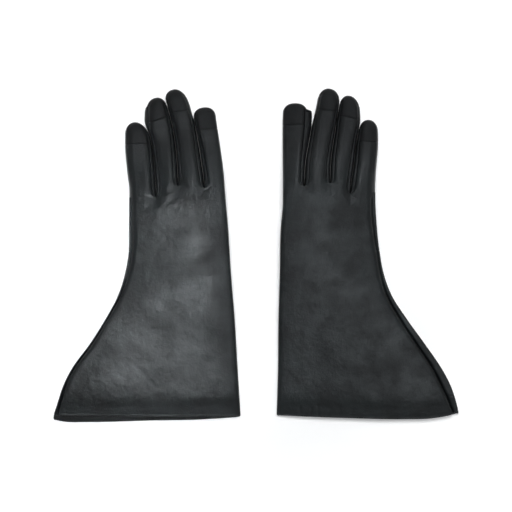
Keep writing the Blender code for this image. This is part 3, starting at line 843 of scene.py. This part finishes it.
# %% The runs of a finger
def finger_runs(glove, finger, rows):
    """The back, outer side, palm and inner side of a finger, in that order round its section."""
    inner = glove.inner[finger]
    outer = glove.outer[finger]
    length = glove.length(finger)
    end = glove.tips[finger]
    root_in, root_out = glove.ends(finger)
    across = root_out[0] - root_in[0]
    tilt = math.tan(math.radians(glove.leans[finger])) * (outer(end) - inner(end))
    s = np.asarray(rows)[:, None]
    left = length - s
    into = np.clip(1.0 - left / glove.rounds[finger], 0.0, 1.0)
    small = (1.0 - into ** SQUARE) ** (1.0 / SQUARE)
    level = TIP_LEVEL * FINGER_DEPTH
    sunk = smooth(s / (SINK * length))
    opening = np.sqrt(1.0 - fall(s, CROTCH_ROUND))
    groove = GROOVE * opening * ramp(left, GROOVE_END, GROOVE_END)
    turned = 1.0 - ramp(SIDE_SHORT - left, *ROLL_RAMP)
    show = SHOW * opening * (1.0 - SHOW_LOSS * ramp(s, SHOW_FROM, length - TIP_PANEL))
    pad_in = FOLD if finger == "index" else show
    pad_out = float(glove.strip(root_out[1])) if finger == "little" else show
    drop = mix(ROOT_DIP, SEAM_DIP, smooth(s / CROTCH_ROUND))
    tip_seam = ridge(left - TIP_PANEL, TIP_SEAM, SEAM_WIDE)
    side_seam = ridge(left - SIDE_SHORT, SIDE_SEAM, SEAM_WIDE)

    def height(share):
        low = mix(root_in[1], root_out[1], share)
        return mix(low, end - tilt * (share - 0.5) * small, s / length)

    def lines(steps, ends):
        t = spread(steps)
        share = (mix(ends[0][0], ends[1][0], t) - root_in[0]) / across
        return t, share, height(share)

    def rolled(y):
        return outer(y) - glove.roll(finger, y)

    def under(y):
        return outer(y) - glove.roll(finger, y) * (1.0 - turned)

    def place(share, x, y, z, squeeze, over):
        """Round a run off towards the tip and carry its root as the hand is carried."""
        middle = 0.5 * (inner(y) + rolled(y))
        x = middle + (x - middle) * small * (1.0 - NARROWING * squeeze)
        root = (mix(root_in[0], root_out[0], share), mix(root_in[1], root_out[1], share))
        rest = mix(glove.lift(*root), glove.drape(*root), over) * (1.0 - sunk)
        return np.stack([x, y, level + (z - level) * small ** FLATTEN * (1.0 - squeeze) + rest], -1)

    def side(share, edges, sunken, squeeze, t):
        """A side of the finger between its top edge and its lower edge."""
        share = share + 0.0 * t
        y = height(share)
        start, end = edges(y)
        top = FINGER_DEPTH - sunken + glove.relief(start, y)
        x = cubic(start, mix(start, end, SWELL_OUT), end, end, t)
        z = cubic(top, top + SWELL_UP, mix(top, SIDE_CURL, SWELL_DOWN), SIDE_CURL, t)
        return place(share, x, y, z, squeeze, 1.0 - t)

    t, share, y = lines(BACK_STEPS, back_ends(glove, finger))
    a = inner(y) + pad_in
    b = rolled(y) - pad_out
    x = mix(a, b, t)
    z = FINGER_DEPTH - dips(finger, s) + glove.relief(x, y)
    if finger == "index":
        z = z - INDEX_FALL * fall(x - inner(y), EDGE_RUN) * sunk
    else:
        z = z - ridge(x - a, groove, SEAM_WIDE)
    if finger == "little":
        z = z - SIDE_DIP * fall(b - x, SIDE_RUN)
    else:
        z = z - ridge(b - x, groove, SEAM_WIDE)
    back = place(share, x, y, z, tip_seam, 1.0)

    down = np.linspace(0.0, 1.0, SIDE_STEPS + 1)
    sunken, squeeze = (SIDE_DIP, tip_seam) if finger == "little" else (drop + groove, side_seam)
    outer_side = side(1.0, lambda y: (rolled(y) - pad_out, under(y)), sunken, squeeze, down)

    t, share, y = lines(PALM_STEPS, palm_ends(glove, finger))
    tuck = PALM_TUCK * smooth(s / CROTCH_ROUND)
    a = inner(y) + (FOLD if finger == "index" else tuck)
    b = under(y) - tuck
    x = mix(b, a, t)
    z = edge_curl(b - x) + (0.0 if finger == "index" else edge_curl(x - a))
    palm = place(share, x, y, z, tip_seam, 0.0)

    if finger == "index":
        inward, up = fold_round(np.linspace(0.0, math.pi, FOLD_STEPS + 1))
        share = inward / across
        y = height(share)
        x = inner(y) + inward
        crown = FINGER_DEPTH + glove.relief(x, y) - INDEX_FALL * fall(inward, EDGE_RUN) * sunk
        inner_side = place(share, x, y, up * crown, tip_seam, up)
    else:
        inner_side = side(0.0, lambda y: (inner(y) + pad_in, inner(y)), drop + groove, side_seam, down[::-1])
    tip = np.array([0.5 * (inner(end) + rolled(end)), end, level])
    return back, outer_side, palm, inner_side, tip


for glove in GLOVES:
    runs = finger_runs(glove, "middle", finger_rows(glove.length("middle"))[0])
    print(glove.name, "middle finger:", sum(run.size // 3 for run in runs), "points")

# %% [markdown]
# The panels of a finger are cut out of these runs. The back and the palm start on the very points
# where the trank ends, because in a real glove they are the same piece of leather. They are kept
# as pieces of their own, one set for each finger.

# %% The panels of the fingers
NEIGHBOURS = dict(middle=("index_side", "ring_side"), ring=("middle_side", "little_side"))


def make_finger(skin, finger, root):
    """Back, palm, side strips and tip of one finger, starting from the trank's end points."""
    glove = skin.glove
    i = FINGERS.index(finger)
    rows, tip_row, cap_row = finger_rows(glove.length(finger))
    back, outer, palm, inner, tip = finger_runs(glove, finger, rows)
    palm_first = (3 - i) * PALM_STEPS
    back_first = 4 * PALM_STEPS + FOLD_STEPS + i * BACK_STEPS
    palm_root = root[palm_first:palm_first + PALM_STEPS + 1]
    back_root = root[back_first:back_first + BACK_STEPS + 1]

    def grow(panel, first, *runs):
        points = np.concatenate(runs, axis=1)
        skin.sew(finger + "_" + panel, np.vstack([first, skin.add(points[1:tip_row])]))

    def strip(name, run):
        skin.sew(finger + "_fourchette" + name, skin.add(run[:cap_row]))

    if finger == "index":
        grow("wrap", root[palm_first:back_first + BACK_STEPS + 1], palm, inner[:, 1:-1], back)
        strip("", outer)
    elif finger == "little":
        side = skin.add(outer[:1, 1:])[0]
        grow("back", np.concatenate([back_root, side]), back, outer[:, 1:])
        grow("palm", palm_root, palm)
        strip("", inner)
    else:
        grow("back", back_root, back)
        grow("palm", palm_root, palm)
        for name, run in zip(NEIGHBOURS[finger], (inner, outer)):
            strip("_" + name, run)

    loop = np.concatenate([back, outer[:, 1:-1], palm, inner[:, 1:-1]], axis=1)[tip_row:]
    numbers = skin.add(loop)
    ring = closed(numbers)
    keep = np.ones((ring.shape[0] - 1, ring.shape[1] - 1), bool)
    before_cap = cap_row - tip_row
    if finger != "little":
        keep[:before_cap, BACK_STEPS:BACK_STEPS + SIDE_STEPS] = False
    if finger != "index":
        keep[:before_cap, BACK_STEPS + SIDE_STEPS + PALM_STEPS:] = False
    skin.sew(finger + "_tip", ring, keep)
    skin.fan(finger + "_tip", numbers[-1], tip)


for glove in GLOVES:
    for finger in FINGERS:
        make_finger(SKINS[glove.name], finger, ROOTS[glove.name])
    print(glove.name, "glove:", len(SKINS[glove.name].faces), "panels so far")

# %% [markdown]
# ## The thumb
#
# The thumb is folded flat under the palm. Its outer panel goes round the underside, the round base
# and the very tip, and its inner panel covers the side towards the palm. The base is open on top,
# where it is sewn round the hole in the palm. Two flat sheets could be joined at their edges, but one
# squashed tube gives both panels with a smooth edge. Its rows are measured from the middle of the hole,
# and its seams draw it in by a share of its depth or width.

# %% Sizes of a thumb
THUMB_LENGTH = 58.0
THUMB_HALF = 12.25
THUMB_DEPTH = 7.4
THUMB_MOUTH = 10.0
THUMB_ROUND = 15.0
THUMB_TAPER = 0.07
TAPER_RUN = 43.0
THUMB_STEPS = 24
WALL_STEPS = 4
END_SEAM = 2.05
END_CLEAR = 0.05
WIDE_ROUND = 0.8
HIGH_ROUND = 0.7
MOUTH_SEAM = (0.10, 0.6)
TIP_LINE = (0.10, 0.5)
EDGE_LINE = (0.03, 0.12)
UPPER_SIDE = 0.2
BASE_ROWS = -np.array([12.15, 12.0, 11.7, 11.2, 10.4, 9.2, 7.6, 5.6, 3.2])
MOUTH_ROWS = [9.3, 9.7, 10.1, 10.4, 10.9]
END_ROWS = np.array([13.0, 11.5, 10.0, 8.6, 7.2, 6.0, 4.8, 3.8, 2.9, 2.4, 2.2, 1.9, 1.7, 1.3, 0.8, 0.4,
                     0.15])
THUMB_ROWS = rows_of(BASE_ROWS, (0.0, 9.0, 1.5), MOUTH_ROWS, (12.0, 44.0, 1.6), THUMB_LENGTH - END_ROWS)
print(len(THUMB_ROWS), "rows along a thumb")


# %% The panels of the thumbs
def make_thumb(skin):
    """The outer and the inner panel of one thumb."""
    glove = skin.glove
    sine = math.sin(glove.thumb_turn)
    cosine = math.cos(glove.thumb_turn)

    def place(across, along, z):
        x = glove.thumb[0] + across * cosine + along * sine
        y = glove.thumb[1] - across * sine + along * cosine
        return np.stack([x, y, z], -1)

    s = THUMB_ROWS[:, None]
    rounding = np.clip(1.0 - (THUMB_LENGTH - s) / THUMB_ROUND, 0.0, 1.0)
    into = np.where(s < 0.0, -s / THUMB_HALF, rounding)
    small = (1.0 - into ** SQUARE) ** (1.0 / SQUARE)
    turn = math.pi - np.linspace(0.0, 2.0 * math.pi, 2 * THUMB_STEPS + 1)[:-1]
    q = power(np.cos(turn), WIDE_ROUND)
    up = power(np.sin(turn), HIGH_ROUND)
    half = THUMB_HALF * (1.0 - THUMB_TAPER * np.clip(s / TAPER_RUN, 0.0, 1.0)) * small
    seams = ridge(s - THUMB_MOUTH, *MOUTH_SEAM) + ridge(s - THUMB_LENGTH + END_SEAM, *TIP_LINE)
    across = q * half * (1.0 - ridge(up, *EDGE_LINE))
    z = 0.5 * THUMB_DEPTH * (1.0 + up * small ** FLATTEN * (1.0 - seams * (up > UPPER_SIDE)))
    numbers = skin.add(place(across, s, z))
    ring = closed(numbers)
    row = s[:-1]
    column = np.arange(2 * THUMB_STEPS)
    over = column < THUMB_STEPS
    wall = over & ((column < WALL_STEPS) | (column >= THUMB_STEPS - WALL_STEPS))
    inner = over & (row > THUMB_MOUTH) & (row < THUMB_LENGTH - END_SEAM - END_CLEAR)
    open_top = over & ~wall & (row < THUMB_MOUTH)
    skin.sew("thumb_inner", skin.copy(ring), inner)
    skin.sew("thumb_outer", ring, ~inner & ~open_top)
    for end, last in ((THUMB_LENGTH, numbers[-1]), (-THUMB_HALF, numbers[0][::-1])):
        skin.fan("thumb_outer", last, place(0.0, end, 0.5 * THUMB_DEPTH))


for glove in GLOVES:
    make_thumb(SKINS[glove.name])
    print(glove.name, "glove:", len(SKINS[glove.name].faces), "panels")

# %% [markdown]
# ## The leather
#
# Glove nappa is drum-dyed lambskin with a light clear finish, then pressed smooth. It is close to
# black, and what the eye reads is its sheen: broad and soft, in clouds about 26 mm across where
# handling has rubbed the finish shinier. There the colour is a little lighter too, partly rubbed dye and
# partly a painted sheen. The clouds are shifted so that these patches fall about where the left glove
# has its bright ones. Up the fingers they fade out, and the fingers are painted darker and left duller
# towards their tips, a painted shade. Crinkles about 4 mm across break the sheen into small lights. Real
# nappa grain is about 0.3 mm, too fine to see at this distance, so it is drawn at about 1 mm. Crinkles
# and pores are given as size, detail and depth.
#
# A photographed texture could carry all this, but it would hold the light of one room. Noise at real
# sizes takes any light.
#
# The tip panels, side strips and hem take the same recipe with other numbers: the tips and the hem
# have been rubbed less and are duller, and their painted sheen is fainter.


# %% Colours and nodes
def srgb(code):
    """A colour from its sRGB hex code."""
    parts = [int(code[i:i + 2], 16) / 255.0 for i in (1, 3, 5)]
    return (*[c / 12.92 if c <= 0.04045 else ((c + 0.055) / 1.055) ** 2.4 for c in parts], 1.0)


def add_node(tree, kind, links=(), operation=None, **values):
    """Add a node, set its sockets by name and link sockets from other nodes."""
    node = tree.nodes.new(kind)
    if operation:
        node.operation = operation
    for name, value in values.items():
        node.inputs[name.replace("_", " ")].default_value = value
    for socket, source in links:
        tree.links.new(source, node.inputs[socket])
    return node


print("mid grey in linear light:", round(srgb("#808080")[0], 3))

# %% Leather finishes
CLOUD = 26.0
CLOUD_SHIFT = (0.015, -0.375, 0.0)
CLOUD_EDGES = (0.36, 0.64)
# The fade up the fingers runs between these two heights in mm. It paints them darker and duller towards the
# tips, a painted shade.
FINGERTIP_SHADE_RUN = (60.0, 100.0)
CRINKLE = (4.2, 4.0, 0.8)
CRINKLE_STRENGTH = 0.36
PORE = (1.1, 3.0, 0.3)


def nappa(name, colour, rubbed_sheen_colour, dull, shiny, grain, gloss):
    """Black glove nappa: dyed through, with a cloudy sheen that is partly painted into its colour, fine
    crinkles and a pressed grain.
    """
    material = bpy.data.materials.new(name)
    material.use_nodes = True
    tree = material.node_tree
    shader = tree.nodes["Principled BSDF"]
    shader.inputs["Specular IOR Level"].default_value = gloss
    here = [("Vector", add_node(tree, "ShaderNodeTexCoord").outputs["Object"])]
    shifted = add_node(tree, "ShaderNodeMapping", here, Location=CLOUD_SHIFT)
    place = [("Vector", shifted.outputs["Vector"])]
    clouds = add_node(tree, "ShaderNodeTexNoise", place, Scale=MM / CLOUD, Detail=6.0, Roughness=0.62)
    # Low clouds are the rubbed patches: shinier, and lighter in colour, partly worn dye and partly a painted
    # sheen.
    wear_and_sheen_mask = add_node(tree, "ShaderNodeMapRange", [("Value", clouds.outputs["Fac"])],
                    From_Min=CLOUD_EDGES[0], From_Max=CLOUD_EDGES[1])
    # Above the finger roots the rubbed clouds fade out, which paints the fingers darker towards their tips:
    # a painted shade.
    height = add_node(tree, "ShaderNodeSeparateXYZ", here).outputs["Y"]
    fingertip_shade = add_node(tree, "ShaderNodeMapRange", [("Value", height)],
                      From_Min=FINGERTIP_SHADE_RUN[0] / MM, From_Max=FINGERTIP_SHADE_RUN[1] / MM)
    sheen_and_shade_mask = add_node(tree, "ShaderNodeMath", [(0, wear_and_sheen_mask.outputs["Result"]), (1, fingertip_shade.outputs["Result"])],
                     operation="MAXIMUM").outputs["Value"]
    dye_sheen_and_shade = add_node(tree, "ShaderNodeValToRGB", [("Fac", sheen_and_shade_mask)])
    dye_sheen_and_shade.color_ramp.elements[0].color = srgb(rubbed_sheen_colour)
    dye_sheen_and_shade.color_ramp.elements[1].color = srgb(colour)
    tree.links.new(dye_sheen_and_shade.outputs["Color"], shader.inputs["Base Color"])
    rough = add_node(tree, "ShaderNodeMapRange", [("Value", sheen_and_shade_mask)], To_Min=shiny, To_Max=dull)
    tree.links.new(rough.outputs["Result"], shader.inputs["Roughness"])
    under = []
    for (size, detail, deep), strength in ((CRINKLE, CRINKLE_STRENGTH), (PORE, grain)):
        noise = add_node(tree, "ShaderNodeTexNoise", place, Scale=MM / size, Detail=detail, Roughness=0.6)
        bumps = add_node(tree, "ShaderNodeBump", [("Height", noise.outputs["Fac"])] + under,
                         Strength=strength, Distance=deep / MM)
        under = [("Normal", bumps.outputs["Normal"])]
    tree.links.new(bumps.outputs["Normal"], shader.inputs["Normal"])
    return material


# In each finish the second colour is the lighter one of the rubbed clouds: partly worn dye, partly a painted
# sheen.
FINISHES = dict(
    shell_leather=nappa("black nappa", "#0f1112", "#1d2122",
                        dull=0.47, shiny=0.31, grain=0.35, gloss=0.5),
    tip_leather=nappa("black nappa fingertip panels", "#0f1011", "#131415",
                      dull=0.56, shiny=0.44, grain=0.30, gloss=0.43),
    fourchette_leather=nappa("black nappa side strips", "#101213", "#151718",
                             dull=0.50, shiny=0.36, grain=0.30, gloss=0.5),
    hem_leather=nappa("black nappa turned hem", "#1c1d1e", "#222324",
                      dull=0.70, shiny=0.60, grain=0.40, gloss=0.4),
)
print(len(FINISHES), "leather finishes")

# %% [markdown]
# ## Putting the panels on the frame
#
# Every panel takes the place of one CAD solid. Panels of the hand ride on the hand. The back, palm
# and side strips of a finger could ride on it too, but then the leather would tear at the root, where
# it is one piece. So they stay where they are built, and only the line above the root where a finger
# would bend is worked out. A tip panel is clear of that bend and simply rides on its finger.

# %% Panels on their bodies
BEND_CLEAR = 0.4
BEND_RUN = 21.0
FACING_INSET = 1.0


def bend_line(glove, finger):
    """Where a finger starts to bend and where it has finished bending."""
    axis = JOINTS[glove.name + "_" + finger + "_lift"]["axis"]
    ahead = Vector((-axis[1], axis[0], 0.0))
    ends = glove.world(np.array([[*end, 0.0] for end in glove.ends(finger)]))
    middle = Vector(ends.mean(axis=0))
    first = max((Vector(end) - middle).dot(ahead) for end in ends) + BEND_CLEAR / MM
    return middle + ahead * first, middle + ahead * (first + BEND_RUN / MM)


def slot_of(panel):
    if panel.endswith("_tip"):
        return "tip_leather"
    if "fourchette" in panel:
        return "fourchette_leather"
    return "hem_leather" if panel == "hem_facing" else "shell_leather"


for glove in GLOVES:
    skin = SKINS[glove.name]
    places, normals = skin.normals()
    for panel, groups in skin.faces.items():
        words = glove.name + "_" + panel + "_leather"
        outside = FACING_INSET if panel == "hem_facing" else 0.0
        mesh = panel_mesh(glove, words, places, normals, np.vstack(groups), outside)
        piece = bpy.data.objects.new(words, mesh)
        bpy.context.scene.collection.objects.link(piece)
        mesh.materials.append(FINISHES[slot_of(panel)])
        part = panel.split("_")[0]
        if part in FINGERS and panel != part + "_tip":
            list(bend_line(glove, part))
            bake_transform(piece)
        elif part in FINGERS or part == "thumb":
            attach(piece, glove.name + "_" + part)
        else:
            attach(piece, glove.name + "_hand")
        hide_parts(glove.name + "_" + panel)
    print(glove.name, "glove:", len(skin.faces), "panels on the frame")

# %% [markdown]
# ## Table, light and camera
#
# The photo is a catalogue flat lay: straight down onto a white table that is lit until it is plain
# white. The table is a sweep of white paper that rises some metres away all round, so every view
# ends on white. It glows a little, for the camera and for mirrored rays only, which stands in for the
# overexposed ground without throwing light on the gloves. The glow is weak close to the gloves, so
# that their shadow stays.

# %% Table
TABLE = 6.5
SWEEP = [(TABLE + out, out ** 2) for out in np.linspace(0.0, 1.0, 5)]
AROUND = 64
BELOW = 0.0003
GLOW = dict(From_Min=0.17, From_Max=0.5, To_Min=0.20, To_Max=0.90)
turn = np.linspace(0.0, 2.0 * math.pi, AROUND + 1)[:-1]
rings = [np.stack([r * np.cos(turn), r * np.sin(turn), 0.0 * turn + high - BELOW], -1) for r, high in SWEEP]
numbers = np.arange(AROUND * len(SWEEP)).reshape(len(SWEEP), AROUND)
walls = np.stack(corners(closed(numbers)), -1).reshape(-1, 4)
table = bpy.data.meshes.new("white table")
table.from_pydata(np.vstack(rings).tolist(), [], [numbers[0].tolist()] + walls.tolist())
table_top = bpy.data.objects.new("white table", table)
bpy.context.scene.collection.objects.link(table_top)

paper = bpy.data.materials.new("white paper")
paper.use_nodes = True
tree = paper.node_tree
sheet = tree.nodes["Principled BSDF"]
sheet.inputs["Base Color"].default_value = srgb("#f2f2f2")
sheet.inputs["Roughness"].default_value = 0.9
sheet.inputs["Specular IOR Level"].default_value = 0.0
sheet.inputs["Emission Color"].default_value = srgb("#ffffff")
ray = add_node(tree, "ShaderNodeLightPath").outputs
mirrored = add_node(tree, "ShaderNodeMath", [(0, ray["Is Glossy Ray"]), (1, ray["Is Transmission Ray"])])
seen = add_node(tree, "ShaderNodeMath", [(0, ray["Is Camera Ray"]), (1, mirrored.outputs["Value"])])
place = add_node(tree, "ShaderNodeTexCoord").outputs["Object"]
away = add_node(tree, "ShaderNodeVectorMath", [("Vector", place)], operation="LENGTH")
far = add_node(tree, "ShaderNodeMapRange", [("Value", away.outputs["Value"])], **GLOW)
glow = add_node(tree, "ShaderNodeMath", [(0, seen.outputs["Value"]), (1, far.outputs["Result"])],
                operation="MULTIPLY")
tree.links.new(glow.outputs["Value"], sheet.inputs["Emission Strength"])
table.materials.append(paper)
print("table laid,", 2.0 * SWEEP[-1][0], "m across")

# %% [markdown]
# A large soft light stands beyond the fingertips, so the only shadow left is a thin one under the
# hems. It is hidden from mirrored rays, and three weaker lights above make the sheen instead: a
# narrow beam for the bright left glove, a wider one for the fingers and an open one for the right
# glove.

# %% Light
COOL = "#f4faff"


def softbox(name, at, aim, size, watts, colour, beam):
    """A soft light at a place, turned towards a point, with a grid that keeps its beam within an angle."""
    data = bpy.data.lights.new(name, "AREA")
    data.shape = "RECTANGLE"
    data.size, data.size_y = size
    data.energy = watts
    data.color = srgb(colour)[:3]
    data.spread = math.radians(beam)
    lamp = bpy.data.objects.new(name, data)
    lamp.location = at
    way = (Vector(aim) - Vector(at)).normalized()
    lamp.rotation_euler = (math.asin(way.y), math.atan2(-way.x, -way.z), 0.0)
    bpy.context.scene.collection.objects.link(lamp)
    return lamp


key = softbox("large light beyond the fingertips", at=(0.0, 0.75, 1.55), aim=(0.0, 0.0, 0.0),
              size=(0.8, 0.8), watts=22.0, colour="#ffffff", beam=180)
key.visible_glossy = False
softbox("sheen light on the left", at=(-0.15, -0.17, 1.25), aim=(-0.105, -0.03, 0.0),
        size=(0.12, 0.32), watts=0.056, colour=COOL, beam=14)
softbox("sheen light over the fingers", at=(0.19, 0.70, 1.25), aim=(0.10, 0.0, 0.0),
        size=(0.34, 0.34), watts=0.062, colour=COOL, beam=24)
softbox("sheen light on the right", at=(0.32, -0.17, 1.25), aim=(0.12, -0.05, 0.0),
        size=(0.20, 0.66), watts=1.6, colour=COOL, beam=180)

world = bpy.data.worlds.new("studio")
bpy.context.scene.world = world
world.use_nodes = True
room = world.node_tree.nodes["Background"]
room.inputs["Color"].default_value = srgb("#d8dadc")
room.inputs["Strength"].default_value = 0.22
print(len(bpy.data.lights), "lights set")

# %% [markdown]
# The camera hangs straight above the pair with a long lens, so the gloves are drawn almost without
# perspective, as in the photo.

# %% Camera
CAMERA_PLACE = (-0.0018, -0.0006, 1.107)
lens = bpy.data.cameras.new("camera straight above")
lens.lens = 85.0
lens.sensor_width = 36.0
camera = bpy.data.objects.new("camera straight above", lens)
camera.location = CAMERA_PLACE
bpy.context.scene.collection.objects.link(camera)
bpy.context.scene.camera = camera
bpy.context.scene.view_settings.view_transform = "Standard"
print("camera", round(camera.location.z, 3), "m above the table")
